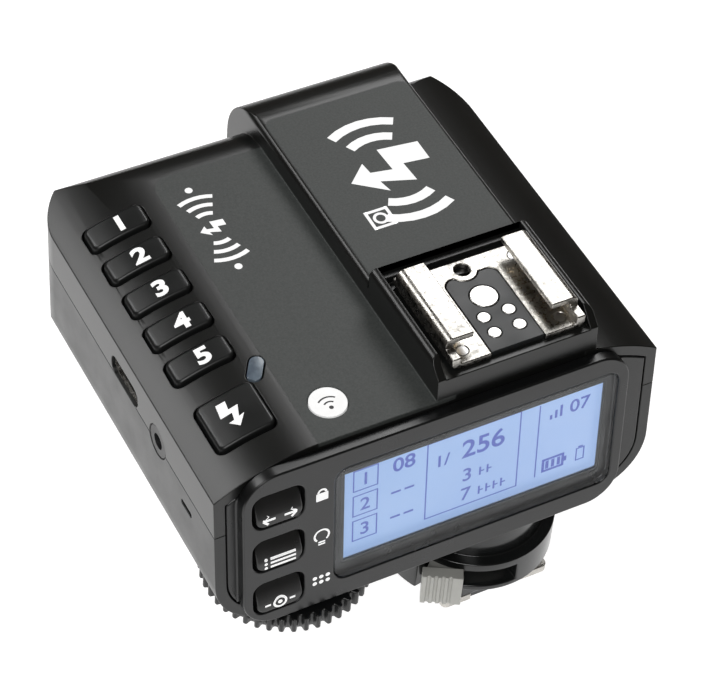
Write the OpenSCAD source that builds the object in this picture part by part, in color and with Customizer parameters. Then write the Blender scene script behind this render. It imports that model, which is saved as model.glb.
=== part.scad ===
// Wireless flash trigger that stands in a camera's accessory shoe and carries a second shoe on top.
// Origin: centre of the foot plate's underside. +X to the right seen from the screen, +Y away
// from the screen towards the lens, +Z up. All sizes in millimetres.

/* [Body] */
// Width of the casing
body_w = 72; // [60:0.5:90]
// Depth of the casing, from the rear rim to the front of the deck
body_l = 66.6; // [56:0.2:80]
// Height of the casing, from the underside to the deck
body_h = 31; // [26:0.5:38]
// Height of the joint between the two shells above the underside
seam_h = 19.4; // [15:0.1:22]
// Wall of the shells
wall = 1.8; // [1.2:0.1:2.2]
// Width of the curved shoulder on each side of the flat deck
shoulder_w = 17; // [10:0.5:20]
// Radius of the shoulder's curve
shoulder_r = 33; // [28:1:60]
// Radius of the two lower long edges
belly_r = 9; // [4:0.5:10]
// Radius of the deck's front edge
brow_r = 9.5; // [3:0.5:11]
// Radius of the front corners seen from above
corner_r = 10.5; // [5:0.5:12]
// Gap between parts that only sit beside each other
gap = 0.15; // [0.1:0.05:0.3]

/* [Foot] */
// Distance of the foot's axis to the right of the casing's middle
foot_x = 12.6; // [0:0.2:14]
// Distance of the foot's axis ahead of the rear rim
foot_y = 7.2; // [6.8:0.1:12]
// Height of the casing's underside above the foot's face
foot_h = 17.5; // [15:0.5:26]
// Width of the foot plate
foot_w = 18.6; // [17.6:0.1:18.6]
// Length of the foot plate
foot_l = 18; // [16:0.2:18.2]
// Thickness of the foot plate
foot_t = 1.5; // [1.2:0.1:2]
// Width of the neck between the plate and the collar
neck_w = 12.2; // [11:0.1:12.4]
// Clear height between the plate and the collar
neck_h = 4; // [1.8:0.1:5]
// Radius of the collar
collar_r = 12.6; // [11.4:0.1:13]

/* [Lock] */
// Radius of the locking pin
lock_pin_r = 0.95; // [0.7:0.05:1.2]
// Distance of the locking pin ahead of the foot's axis
lock_pin_y = 6.3; // [5.8:0.1:6.6]
// Height of the lever's tab
tab_h = 6.4; // [4:0.2:7]
// Width of the lever's tab
tab_w = 6.2; // [4:0.2:7]
// Thickness of the lever's tab
tab_t = 2; // [1.4:0.1:2.4]
// Swing of the lever in degrees
lever_swing = 36; // [20:1:40]

/* [Top shoe] */
// Height of the hump above the deck
hump_h = 3.7; // [3:0.1:6]
// Distance of the hump's left wall from the shoe's axis
hump_left = 13.6; // [12.6:0.1:15]
// Distance of the hump's right wall from the shoe's axis
hump_right = 12.6; // [12.3:0.1:15]
// Height of the guard rails above the deck
guard_h = 6.4; // [5:0.1:9]
// Thickness of the guard rails
guard_t = 1.3; // [1:0.1:1.3]
// Reach of the hump past the deck's front edge
hump_reach = 2.4; // [1:0.2:5]
// Radius of the hump's front edge
hump_brow_r = 10; // [5:0.5:12]
// Outer width of the sheet-metal shoe
shoe_w = 21.8; // [21:0.1:22]
// Length of the shoe
shoe_l = 18.2; // [17:0.1:19]
// Width of the slot under the lips
slot_w = 18.9; // [18.7:0.1:19.2]
// Clear height under the lips
slot_h = 2.1; // [2:0.05:2.4]
// Distance between the lips
lip_gap = 12.7; // [12.5:0.1:13]
// Thickness of the shoe's sheet
sheet_t = 1; // [0.8:0.1:1.2]

/* [Rear panel] */
// Backward lean of the panel in degrees
lean = 5; // [0:0.5:8]
// Distance of the panel's face behind the rear rim at deck height
panel_out = 2; // [1.6:0.1:4]
// Left edge of the panel from the casing's middle
panel_left = 32.5; // [30:0.1:33]
// Right edge of the panel from the casing's middle
panel_right = 30.2; // [29:0.1:33]
// Gap from the deck down to the panel's top edge
panel_top = 0.9; // [0.5:0.1:2]
// Height of the panel
panel_h = 29.7; // [26:0.1:30]
// Width of the screen window
window_w = 46.2; // [36:0.1:46.4]
// Height of the screen window
window_h = 22.4; // [18:0.1:23]
// Width of the lit screen
screen_w = 42.5; // [30:0.1:43]
// Height of the lit screen
screen_h = 17.7; // [14:0.1:18]
// Width of a function button
key_w = 7.2; // [5:0.1:7.6]
// Height of a function button
key_h = 5.4; // [4:0.1:6]
// Spacing of the function buttons
key_pitch = 8.85; // [8:0.05:9]

/* [Deck buttons] */
// Length of a group button across the deck
group_l = 9.2; // [7:0.1:10]
// Width of a group button
group_w = 4.6; // [3:0.1:5]
// Spacing of the group buttons
group_pitch = 7.3; // [6.6:0.1:8]
// Length of the test button's sides
test_w = 8.7; // [7:0.1:9]
// Height of the buttons above the deck
button_rise = 0.7; // [0.2:0.1:1.2]
// Gap around a button
button_gap = 0.35; // [0.2:0.05:0.5]
// Travel of the buttons
button_travel = 0.5; // [0.3:0.1:0.8]

/* [Dial] */
// Radius of the select dial over its teeth
dial_r = 13.1; // [11:0.1:13.4]
// Thickness of the select dial
dial_t = 3; // [2:0.1:4]
// Number of teeth round the dial
dial_teeth = 44; // [30:1:60]
// Distance of the dial's axis left of the casing's middle
dial_x = 20.2; // [16:0.1:22]
// Distance of the dial's axis ahead of the rear rim
dial_y = 6.8; // [6:0.1:10]
// Radius of the dial's shaft
shaft_r = 3; // [2:0.1:3.5]

/* [Batteries] */
// Radius of a battery cell
cell_r = 7.15; // [5:0.05:7.2]
// Length of a battery cell
cell_l = 49.5; // [40:0.5:50]
// Thickness of the battery door
door_t = 1.7; // [1.2:0.1:1.7]
// Half width of the battery door
door_half = 28; // [24:0.5:28]

/* [Hidden] */
$fn = 48;
touch = 0.02;              // overlap that welds two shapes of one piece
fit = 0.05;                // radial clearance of a running fit

deck_z = foot_h + body_h;
under_z = foot_h;
seam_z = foot_h + seam_h;
rear_y = -foot_y;
front_y = rear_y + body_l;
mid_x = -foot_x;
left_x = mid_x - body_w / 2;
right_x = mid_x + body_w / 2;

shoulder_drop = shoulder_r - sqrt(pow(shoulder_r, 2) - pow(shoulder_w, 2));
guard_slope = 3.2;         // length of the guard rails' sloping ends
hump_side_r = 1.2;         // rounding of the hump's and guards' upper edges
plateau_z = deck_z + hump_h;
shoe_y = 3.3;              // middle of the top shoe ahead of the foot's axis
shoe_pin_x = -0.4;
shoe_pin_y = shoe_y + 7.2; // hole for a flash's locking pin
main_contact_y = shoe_y + 1.3;
shoe_back = shoe_y - shoe_l / 2;
shoe_front = shoe_y + shoe_l / 2;
guard_front = shoe_front + 0.8;
plate_z = plateau_z + sheet_t;
lip_z = plate_z + slot_h;
shoe_top = lip_z + sheet_t;

collar_z = foot_t + neck_h;
ring_r = 9.4;              // outer radius of the lever's ring
hub_r = 5;                 // radius of the collar's hub inside the ring
collar_floor = 1.1;
ring_z = collar_z + collar_floor + gap;
ring_h = 3.2;
tab_angle = 221;           // direction of the lever's tab from the foot's axis
tab_turn = 241;            // direction that the tab faces
tab_reach = collar_r + 0.9;

panel_face = rear_y - panel_out;
plug_d = 1;                // depth of the panel's plug inside the rim
rim_reach = body_h * tan(lean) + 1;
window_x = mid_x + 5.2;    // middle of the window
window_u = -15.6;          // height of the window's middle below the deck, along the lean
window_t = 1;
ledge_t = 0.8;             // wall that the window lies on
screen_t = 1.6;
backlight_t = 1.6;
display_d = window_t + ledge_t + gap;
board_t = 1.2;
rear_board_d = display_d + screen_t + backlight_t + 2 * gap;
key_x = mid_x - 26.9;
key_u = -7.5;              // middle of the upper function button
key_gap = 0.45;
key_flange = 0.7;

deck_button_x = mid_x - 27.7;
group_y0 = rear_y + 51.2;  // middle of the first group button
test_y = rear_y + 10.2;
light_x = mid_x - 21.6;    // middle of the status light's lens
light_y = rear_y + 16.4;
badge_x = mid_x - 15.1;
badge_y = rear_y + 6.4;
badge_r = 2.8;
deck_board_z = deck_z - 7.4;
deck_board_t = 0.8;
switch_h = 0.7;
post_r = 2.2;
flange = 0.7;              // ledge that keeps a button in its hole

tray_t = 0.9;
tray_front = front_y - wall - gap;
cell_y = [tray_front - tray_t - gap - cell_r, tray_front - tray_t - 2 * gap - 3 * cell_r];
cell_z = under_z + door_t + gap + 0.2 + cell_r;
tray_back = cell_y[1] - cell_r - gap;
tray_half = cell_l / 2 + 6.2;
tray_top = cell_z + cell_r + gap;
door_back = tray_back + 0.4;
door_tongue = 0.9;

dial_cx = mid_x - dial_x;
dial_cy = rear_y + dial_y;
encoder_w = 8.4;
encoder_h = 5;

usb_y = rear_y + 29.8;
usb_z = seam_z + 1.75;
usb_w = 8.3;
usb_h = 2.6;
usb_t = 0.3;                // sheet of the socket's shell
main_board_z = usb_z - usb_h / 2 - usb_t - board_t;
jack_y = rear_y + 18.2;
jack_z = seam_z + 0.6;
jack_r = 2.6;
jack_bore_r = 1.3;
jack_bore_l = 9;
slider_z = seam_z + 3.4;
slider_y = [rear_y + 33, rear_y + 17];
slider_w = 3.6;
slider_h = 2;
slider_travel = 3;
lens_w = 13;
lens_h = 5;
lens_z = deck_z - 5;
lens_x = (hump_right - hump_left) / 2;

// ---------- shapes that several pieces share ----------

// Flat rectangle with round corners, centred
module round_rect(w, h, r) {
    square([w - 2 * r, h], center = true);
    square([w, h - 2 * r], center = true);
    for (x = [-1, 1], y = [-1, 1])
        translate([x * (w / 2 - r), y * (h / 2 - r)]) circle(r = r);
}

// Upright prism of the child outline between two heights
module rise(z0, z1) {
    translate([0, 0, z0]) linear_extrude(height = z1 - z0) children();
}

// Prism along Y of a child outline drawn in X and Z
module along_y(y0, y1) {
    translate([0, y1, 0]) rotate([90, 0, 0]) linear_extrude(height = y1 - y0) children();
}

// Prism along X of a child outline drawn in Y and Z
module along_x(x0, x1) {
    translate([x0, 0, 0]) rotate([90, 0, 90]) linear_extrude(height = x1 - x0) children();
}

module box(x0, x1, y0, y1, z0, z1) {
    translate([x0, y0, z0]) cube([x1 - x0, y1 - y0, z1 - z0]);
}

// Flat deck with its two curved shoulders, lowered by inset
module deck_outline(inset) {
    flat = body_w / 2 - shoulder_w;
    translate([mid_x - flat, under_z]) square([2 * flat, body_h - inset]);
    for (side = [-1, 1])
        translate([mid_x + side * flat, deck_z - shoulder_r]) circle(r = shoulder_r - inset, $fn = 96);
}

// Casing seen from the rear, made smaller all round by inset
module rear_outline(inset) {
    low = under_z + inset;
    r = belly_r - inset;
    half = body_w / 2 - inset;
    intersection() {
        deck_outline(inset);
        translate([mid_x, 0]) {
            translate([-half, low + r]) square([2 * half, body_h]);
            translate([-half + r, low]) square([2 * half - 2 * r, body_h]);
            for (side = [-1, 1]) translate([side * (half - r), low + r]) circle(r = r);
        }
    }
}

// Casing seen from above
module plan_outline(inset, back) {
    half = body_w / 2 - inset;
    r = corner_r - inset;
    top = front_y - inset;
    translate([mid_x - half, back]) square([2 * half, top - r - back]);
    translate([mid_x - half + r, back]) square([2 * half - 2 * r, top - back]);
    for (side = [-1, 1]) translate([mid_x + side * (half - r), top - r]) circle(r = r);
}

// Casing seen from the side, drawn in Y and Z
module side_outline(inset, back) {
    r = brow_r - inset;
    top = deck_z - inset;
    low = under_z + inset;
    low_r = 3 - inset;
    end = front_y - inset;
    translate([back, low + low_r]) square([end - back, top - r - low - low_r]);
    translate([back, low]) square([end - low_r - back, body_h / 2]);
    translate([back, top - body_h / 2]) square([end - r - back, body_h / 2]);
    translate([end - r, top - r]) circle(r = r);
    translate([end - low_r, low + low_r]) circle(r = low_r);
}

// The whole casing without its hump, made smaller by inset
module casing(inset, back) {
    intersection() {
        along_y(back, front_y) rear_outline(inset);
        rise(under_z, deck_z) plan_outline(inset, back);
        along_x(mid_x - body_w, mid_x + body_w) side_outline(inset, back);
    }
}

// Hump on the deck, drawn as its rear outline times its side outline
module hump(inset, back) {
    left = -hump_left + inset;
    right = hump_right - inset;
    top = plateau_z - inset;
    r = hump_brow_r - inset;
    end = front_y + hump_reach - inset;
    edge = max(hump_side_r - inset, 0.2);
    intersection() {
        along_y(back, end) {
            translate([left, seam_z]) square([right - left, top - edge - seam_z]);
            translate([left + edge, seam_z]) square([right - left - 2 * edge, top - seam_z]);
            translate([left + edge, top - edge]) circle(r = edge);
            translate([right - edge, top - edge]) circle(r = edge);
        }
        along_x(left, right) {
            translate([back, seam_z]) square([end - r - back, top - seam_z]);
            translate([back, seam_z]) square([end - back, top - r - seam_z]);
            translate([end - r, top - r]) circle(r = r);
        }
    }
}

// Rail that stands on each side of the shoe and ahead of it, with a sloping rear end
module guards() {
    r = hump_side_r;
    low = plateau_z - hump_side_r;
    top = deck_z + guard_h;
    difference() {
        for (side = [[-hump_left, 0], [hump_right, 1]])
            along_y(rear_y, guard_front + guard_t) translate([side[0], 0]) mirror([side[1], 0]) {
                translate([0, low]) square([guard_t, top - r - low]);
                intersection() {
                    translate([r, top - r]) circle(r = r);
                    translate([0, low]) square([guard_t, top - low]);
                }
                translate([r - touch, top - r - touch]) square([guard_t - r + touch, r + touch]);
            }
        along_x(-hump_left - 1, hump_right + 1)
            polygon([[rear_y - 1, low], [rear_y, low + 1], [rear_y + guard_slope, top + touch],
                [rear_y - 1, top + touch]]);
    }
    box(-hump_left + guard_t - touch, hump_right - guard_t + touch,
        guard_front, guard_front + guard_t, low, top - 1.4);
}

// Everything in the panel's own leaning frame: X across, Y into the casing, Z up along the face
module on_panel() {
    translate([0, panel_face, deck_z]) rotate([-lean, 0, 0]) children();
}

// Block in the leaning frame that has the child outline and lies between two depths
module into_panel(d0, d1) {
    translate([0, d1, 0]) rotate([90, 0, 0]) linear_extrude(height = d1 - d0) children();
}

// Everything behind the leaning plane of the shells' rear rim
module behind_rim() {
    on_panel() into_panel(-body_l, panel_out) square(4 * body_w, center = true);
}

// Outline of the raised panel
module panel_outline() {
    w = panel_left + panel_right;
    translate([mid_x + (panel_right - panel_left) / 2, -panel_top - panel_h / 2])
        round_rect(w, panel_h, 5.5);
}

// Place of a function button: 0 is the upper one
module at_key(i) {
    translate([key_x, key_u - i * key_pitch]) children();
}

// Layer of the deck's curved surface between two insets
module deck_layer(high, low) {
    along_y(rear_y + 1, front_y - 1) difference() {
        deck_outline(high);
        deck_outline(low);
        translate([mid_x - body_w, -shoulder_r]) square([2 * body_w, shoulder_r + deck_board_z]);
    }
}

module foot_axis_ring(r0, r1, z0, z1) {
    difference() {
        rise(z0, z1) circle(r = r1);
        rise(z0 - 1, z1 + 1) circle(r = r0);
    }
}

// ---------- outlines of the deck's buttons ----------

module group_outline(i, grow) {
    translate([deck_button_x, group_y0 - i * group_pitch])
        round_rect(group_l + 2 * grow, group_w + 2 * grow, 1 + grow);
}

module test_outline(grow) {
    translate([deck_button_x, test_y]) round_rect(test_w + 2 * grow, test_w + 2 * grow, 1 + grow);
}

// Drop-shaped lens beside the test button, leaning towards its corner
module light_outline(grow) {
    translate([light_x, light_y]) rotate(-33) round_rect(2.2 + 2 * grow, 4.6 + 2 * grow, 1.09 + grow);
}

// Cap, keeping flange and stem of a button on the deck
module deck_button(depth) {
    intersection() {
        rise(deck_board_z, deck_z + 1.2) children(0);
        deck_layer(-button_rise, depth);
    }
    intersection() {
        rise(deck_board_z, deck_z + 1.2) children(1);
        deck_layer(wall + gap, depth);
    }
}

module button_stem(y) {
    stem = 1.5;
    box(deck_button_x - stem, deck_button_x + stem, y - stem, y + stem,
        deck_board_z + switch_h + button_travel + gap, deck_z - wall - 2.4);
}

// ---------- shells ----------

// Hollow posts for the screws, between two heights
module screw_posts(z0, z1, hole) {
    screw_places() difference() {
        translate([0, 0, z0]) cylinder(r = post_r, h = z1 - z0);
        translate([0, 0, z0 - 1]) cylinder(r = hole, h = z1 - z0 + 2);
    }
}

// Places of the two screws that hold the shells together, just behind the battery bay
module screw_places() {
    for (x = [mid_x - 19.5, right_x - 8])
        translate([x, tray_back - tray_t - gap - post_r, 0]) children();
}

module side_openings() {
    // charging socket and sync socket on the left
    along_x(left_x - 1, left_x + wall + 1) {
        translate([usb_y, usb_z]) round_rect(usb_w + 2 * gap + 0.7, usb_h + 2 * gap + 0.7, 1.6);
        translate([jack_y, jack_z]) circle(r = jack_r + gap);
    }
    // slots of the two slide switches on the right
    along_x(right_x - wall - 1, right_x + 1)
        for (y = slider_y) translate([y + slider_travel / 2, slider_z])
            round_rect(slider_w + slider_travel + 0.6, slider_h + 0.5, 0.6);
}

module top_housing() {
    color("#454a4b") difference() {
        union() {
            difference() {
                union() {
                    casing(0, rear_y - rim_reach);
                    hump(0, rear_y);
                }
                casing(wall, rear_y - rim_reach - 1);
                hump(wall, rear_y - 1);
            }
            guards();
            // closed rear end of the hump
            box(-hump_left + hump_side_r, hump_right - hump_side_r, rear_y, rear_y + wall,
                deck_z - wall, plateau_z - touch);
            intersection() {
                casing(wall / 2, rear_y);
                screw_posts(seam_z, deck_z, 0.9);
            }
        }
        box(mid_x - body_w, mid_x + body_w, rear_y - 5, front_y + 10, under_z - 5, seam_z);
        behind_rim();
        for (i = [0 : 4])
            rise(deck_z - shoulder_drop - 3 * wall, deck_z + 1) group_outline(i, button_gap);
        rise(deck_z - shoulder_drop - 3 * wall, deck_z + 1) test_outline(button_gap);
        rise(deck_z - 3 * wall, deck_z + 1) light_outline(gap);
        rise(deck_z - 0.8, deck_z + 1) translate([badge_x, badge_y]) circle(r = badge_r + gap);
        // well under the shoe for its insulator and contacts
        rise(deck_z - wall - 1, plateau_z + 1) translate([0, shoe_y])
            square([lip_gap + 2 * gap, shoe_l - 4 + 2 * gap], center = true);
        shoe_screw_holes();
        side_openings();
        // window of the focus lamp
        along_y(front_y - wall, front_y + hump_reach + 1)
            translate([lens_x, lens_z]) round_rect(lens_w + 2 * gap, lens_h + 2 * gap, 1);
    }
}

module bottom_housing() {
    color("#3d4142") difference() {
        union() {
            difference() {
                casing(0, rear_y - rim_reach);
                casing(wall, rear_y - rim_reach - 1);
            }
            screw_posts(under_z + wall - touch, seam_z, 1.1);
        }
        box(mid_x - body_w, mid_x + body_w, rear_y - 5, front_y + 10, seam_z, deck_z + 5);
        behind_rim();
        // opening of the battery door, with a groove along each side
        box(mid_x - door_half - gap, mid_x + door_half + gap, door_back - gap, front_y + 1,
            under_z - 1, under_z + max(wall, door_t) + gap);
        box(mid_x - door_half - door_tongue - 2 * gap, mid_x + door_half + door_tongue + 2 * gap,
            door_back - gap, front_y + 1, under_z + 0.6 - gap, under_z + 1.4 + gap);
        // shaft of the dial, wires and screws of the foot
        translate([dial_cx, dial_cy, under_z - 1]) cylinder(r = shaft_r + 0.4, h = wall + 2);
        translate([0, 0, under_z - 1]) cylinder(r = hub_r - 2, h = wall + 2);
        foot_screw_places() translate([0, 0, under_z - 1]) cylinder(r = 1.1, h = wall + 2);
        screw_places() translate([0, 0, under_z - 1]) {
            cylinder(r = 1.1, h = wall + 2);
            cylinder(r = 2, h = 2);
        }
        side_openings();
        // reset slot below the joint
        along_x(left_x - 1, left_x + 0.5)
            translate([rear_y + 8.2, seam_z - 3.4]) round_rect(3.4, 0.9, 0.4);
    }
}

// ---------- rear panel and screen ----------

module rear_panel() {
    color("#3a3d3f") difference() {
        union() {
            on_panel() into_panel(0, panel_out) panel_outline();
            intersection() {
                on_panel() into_panel(panel_out - touch, panel_out + plug_d)
                    square(4 * body_w, center = true);
                along_y(rear_y - rim_reach, front_y) intersection() {
                    rear_outline(wall + gap);
                    translate([mid_x - body_w, under_z]) square([2 * body_w, body_h - 2.5]);
                }
            }
        }
        on_panel() {
            // seat of the window and opening of the screen
            into_panel(-1, window_t) translate([window_x, window_u])
                round_rect(window_w + 2 * gap, window_h + 2 * gap, 2 + gap);
            into_panel(0, 9) translate([window_x, window_u])
                round_rect(screen_w + 0.6, screen_h + 0.6, 0.5);
            into_panel(window_t + ledge_t, 9) translate([window_x, window_u])
                round_rect(window_w - 1 + 2 * gap, window_h - 1 + 2 * gap, 0.5);
            for (i = [0 : 2]) {
                into_panel(-1, 9) at_key(i) round_rect(key_w + 2 * key_gap, key_h + 2 * key_gap, 1.8);
                into_panel(window_t + ledge_t, 9) at_key(i)
                    square([key_w + 2 * (key_gap + key_flange), key_h], center = true);
            }
        }
    }
}

module lcd_window() {
    color("#30363c") on_panel() into_panel(0, window_t)
        translate([window_x, window_u]) round_rect(window_w, window_h, 2);
}

module lcd_display() {
    color("#a5c3eb") on_panel() into_panel(display_d, display_d + screen_t)
        translate([window_x, window_u]) square([screen_w + 1, screen_h + 1], center = true);
}

module lcd_frame() {
    color("#c8ccd0") on_panel() into_panel(display_d, display_d + screen_t)
        translate([window_x, window_u]) difference() {
            square([window_w - 1, window_h - 1], center = true);
            square([screen_w + 1 + 2 * gap, screen_h + 1 + 2 * gap], center = true);
        }
}

module lcd_backlight() {
    color("#f2f4f6") on_panel()
        into_panel(display_d + screen_t + gap, display_d + screen_t + gap + backlight_t)
            translate([window_x, window_u]) round_rect(window_w - 1, window_h - 1, 0.5);
}

module display_board() {
    color("#23583a") intersection() {
        on_panel() into_panel(rear_board_d, rear_board_d + board_t) difference() {
            translate([mid_x, -body_h / 2]) square([body_w, body_h], center = true);
            // clear of the dial's encoder and of the shoe's well
            translate([dial_cx, -body_h]) square([encoder_w + 3, 22], center = true);
            square([2 * hump_left + 2, 9.6], center = true);
        }
        along_y(rear_y, rear_y + 12) rear_outline(wall + 0.6);
        on_panel() into_panel(panel_out + plug_d + gap, 20) square(4 * body_w, center = true);
    }
}

// Wedge-shaped cap: its upper edge lies below the panel's face and its lower edge stands proud
module function_button(i) {
    proud = 0.3;
    sunk = 1.1;
    deep = window_t + ledge_t + gap;
    back = deep + key_flange;
    color("#404547") on_panel() {
        intersection() {
            into_panel(-1, back) at_key(i) round_rect(key_w, key_h, 1.4);
            along_x(key_x - key_w, key_x + key_w) translate([0, key_u - i * key_pitch]) polygon([
                [-proud, -key_h / 2], [-proud, -key_h / 8], [sunk, key_h / 2], [back, key_h / 2],
                [back, -key_h / 2]
            ]);
        }
        into_panel(deep, back) at_key(i) square([key_w + 2 * key_flange, key_h - 0.8], center = true);
    }
}

module mode_button() { function_button(0); }
module menu_button() { function_button(1); }
module set_button() { function_button(2); }

module rear_switches() {
    travel = button_travel + gap;
    color("#d8dadc") on_panel() for (i = [0 : 2])
        into_panel(display_d + key_flange + travel, rear_board_d)
            at_key(i) square([3, 3], center = true);
}

// ---------- buttons and lights on the deck ----------

module group_button(i) {
    color("#4a4f51") {
        deck_button(wall + 1) {
            group_outline(i, 0);
            group_outline(i, flange);
        }
        intersection() {
            button_stem(group_y0 - i * group_pitch);
            deck_layer(wall, body_h / 2);
        }
    }
}

module group_button_a() { group_button(0); }
module group_button_b() { group_button(1); }
module group_button_c() { group_button(2); }
module group_button_d() { group_button(3); }
module group_button_e() { group_button(4); }

module test_button() {
    color("#4f5456") {
        deck_button(wall + 1) {
            test_outline(0);
            test_outline(flange);
        }
        intersection() {
            button_stem(test_y);
            deck_layer(wall, body_h / 2);
        }
    }
}

module status_light_pipe() {
    color("#8fa3b5") intersection() {
        rise(deck_board_z + 1, deck_z + 1) difference() {
            light_outline(0);
            test_outline(flange + gap);
            group_outline(4, flange + gap);
        }
        deck_layer(-0.1, body_h / 3);
    }
}

module wireless_badge() {
    color("white") translate([badge_x, badge_y, deck_z - 0.8]) cylinder(r = badge_r, h = 0.85);
}

module deck_board() {
    color("#23583a") difference() {
        box(left_x + wall + 1.6, mid_x - 7, rear_y + 6.6, front_y - corner_r,
            deck_board_z - deck_board_t, deck_board_z);
        screw_places() translate([0, 0, deck_board_z - 3]) cylinder(r = post_r + 0.5, h = 6);
    }
}

module deck_switches() {
    color("#d8dadc") for (y = concat([for (i = [0 : 4]) group_y0 - i * group_pitch], [test_y]))
        box(deck_button_x - 1.8, deck_button_x + 1.8, y - 1.8, y + 1.8,
            deck_board_z, deck_board_z + switch_h);
}

// ---------- boards ----------

module main_board() {
    color("#1f5236") difference() {
        box(left_x + wall + 0.4, right_x - wall - 0.4, rear_y + 5.6,
            tray_back - tray_t - gap, main_board_z, main_board_z + board_t);
        screw_places() translate([0, 0, main_board_z - 1]) cylinder(r = post_r + 0.5, h = board_t + 2);
        box(left_x, left_x + 12, jack_y - 3.4, jack_y + 3.4,
            main_board_z - 1, main_board_z + 2);
    }
}

module radio_module() {
    color("#c9cdd1") box(mid_x - 4, mid_x + 12, rear_y + 9, rear_y + 23,
        main_board_z + board_t, main_board_z + board_t + 2.4);
}

module buzzer() {
    color("#1c1c1c") translate([mid_x + 24, rear_y + 12, main_board_z + board_t])
        difference() {
            cylinder(r = 4.5, h = 3);
            translate([0, 0, 2]) cylinder(r = 1, h = 2);
        }
}

// ---------- select dial ----------

// Groove between two teeth of the dial, drawn along X
module dial_groove(root_r) {
    pitch = 2 * PI * dial_r / dial_teeth;
    outside = dial_r + 0.5;
    polygon([[root_r, -0.15 * pitch], [root_r, 0.15 * pitch],
             [outside, 0.42 * pitch], [outside, -0.42 * pitch]]);
}

module select_dial() {
    root_r = dial_r - 0.9;
    color("#1f2122") translate([dial_cx, dial_cy, under_z - gap - dial_t]) difference() {
        linear_extrude(height = dial_t) difference() {
            circle(r = dial_r);
            for (i = [0 : dial_teeth - 1]) rotate(i * 360 / dial_teeth) dial_groove(root_r);
        }
        translate([0, 0, -1]) cylinder(r = shaft_r, h = dial_t + 2);
        translate([0, 0, -1]) difference() {
            cylinder(r = root_r - 2.2, h = 1.5);
            translate([0, 0, -1]) cylinder(r = shaft_r + 1.5, h = 3);
        }
    }
}

module dial_shaft() {
    color("#b9bcc0") translate([dial_cx, dial_cy, under_z - gap - dial_t])
        cylinder(r = shaft_r, h = dial_t + gap + wall + gap + encoder_h - 1);
}

module dial_encoder() {
    low = under_z + wall;
    color("#2c2f31") difference() {
        box(dial_cx - encoder_w / 2, dial_cx + encoder_w / 2, dial_cy - encoder_w / 2,
            dial_cy + encoder_w / 2, low, low + encoder_h + 0.4);
        translate([dial_cx, dial_cy, low - 1]) cylinder(r = shaft_r + fit, h = encoder_h + 0.4);
    }
}

// ---------- shoe on top ----------

module shoe_screw_holes() {
    for (x = [-1, 1], y = [-1, 1]) translate([x * 8, shoe_y + y * 6.8, deck_z - wall - 1])
        cylinder(r = 0.9, h = hump_h + wall + 4);
}

// Opening in the shoe's floor that shows the insulator
module insulator_window() {
    insulator_outline(0, shoe_back - 1);
}

module shoe_rails() {
    r = 1.3;
    color("#d9d7d2") difference() {
        along_y(shoe_back, shoe_front) translate([0, plateau_z + (shoe_top - plateau_z) / 2])
            round_rect(shoe_w, shoe_top - plateau_z, r);
        along_y(shoe_back - 1, shoe_front + 1) {
            translate([0, plate_z + slot_h / 2]) round_rect(slot_w, slot_h, 0.4);
            translate([0, plate_z + slot_h]) square([lip_gap, 2 * slot_h], center = true);
        }
        rise(plateau_z - 1, plate_z + 0.5) insulator_window();
        translate([shoe_pin_x, shoe_pin_y, plateau_z - 1]) cylinder(r = 1.2, h = 3);
        shoe_screw_holes();
        // lips end short of the floor at both ends
        box(-shoe_w, shoe_w, shoe_back - 1, shoe_back + 2.3, plate_z + 1.3, shoe_top + 1);
        box(-shoe_w, shoe_w, shoe_front - 0.8, shoe_front + 1, plate_z + 1, shoe_top + 1);
    }
}

// Places of the four small contacts, in pairs behind the main one
function small_contacts() = [[-2.05, -3.7], [2.05, -3.7], [-2.05, -6.9], [2.05, -6.9]];

module shoe_insulator() {
    color("#383c3d") difference() {
        union() {
            rise(plateau_z, plate_z - 0.05) insulator_outline(0.1, shoe_back + 0.3);
            rise(deck_z, plateau_z) translate([0, shoe_y])
                square([lip_gap, shoe_l - 4], center = true);
        }
        rise(deck_z - 1, plate_z + 1) {
            translate([0, main_contact_y]) circle(r = 2.25);
            for (p = small_contacts()) translate([p[0], p[1] + main_contact_y]) circle(r = 1.1);
        }
        translate([shoe_pin_x, shoe_pin_y, deck_z - 1]) cylinder(r = 1.3, h = 9);
    }
}

// Outline of the visible insulator: round far corners, and a bay round the locking hole
module insulator_outline(inset, back) {
    half = 4.4 - inset;
    end = shoe_front - 3 - inset;
    r = 1.6;
    difference() {
        union() {
            translate([-half, back]) square([2 * half, end - r - back]);
            translate([-half + r, back]) square([2 * half - 2 * r, end - back]);
            for (side = [-1, 1]) translate([side * (half - r), end - r]) circle(r = r);
        }
        translate([shoe_pin_x, shoe_pin_y]) circle(r = 2.3 + inset);
    }
}

module shoe_contacts() {
    color("#e0ddd6") {
        translate([0, main_contact_y, deck_z + 0.5]) cylinder(r = 2.15, h = plate_z - deck_z - 0.5);
        for (p = small_contacts()) translate([p[0], p[1] + main_contact_y, deck_z + 0.5])
            cylinder(r = 1.05, h = plate_z - deck_z - 0.5);
    }
}

// Leaf spring under each lip, which presses a foot down
module shoe_springs() {
    color("#b8a98c") for (side = [-1, 1]) {
        x = side * (slot_w / 2 - 1.6);
        box(x - 1.1, x + 1.1, shoe_y - 6, shoe_y + 6, lip_z - 0.25, lip_z);
    }
}

module shoe_screws() {
    color("#8d8f92") for (x = [-1, 1], y = [-1, 1])
        translate([x * 8, shoe_y + y * 6.8, deck_z - wall - 0.6]) {
            cylinder(r = 0.85, h = plate_z - deck_z + wall + 0.5);
            translate([0, 0, -1.2]) cylinder(r = 1.7, h = 1.2);
        }
}

// ---------- foot ----------

module foot_screw_places() {
    for (a = [0, 50, 130, 180]) rotate(a) translate([8.6, 0, 0]) children();
}

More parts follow.
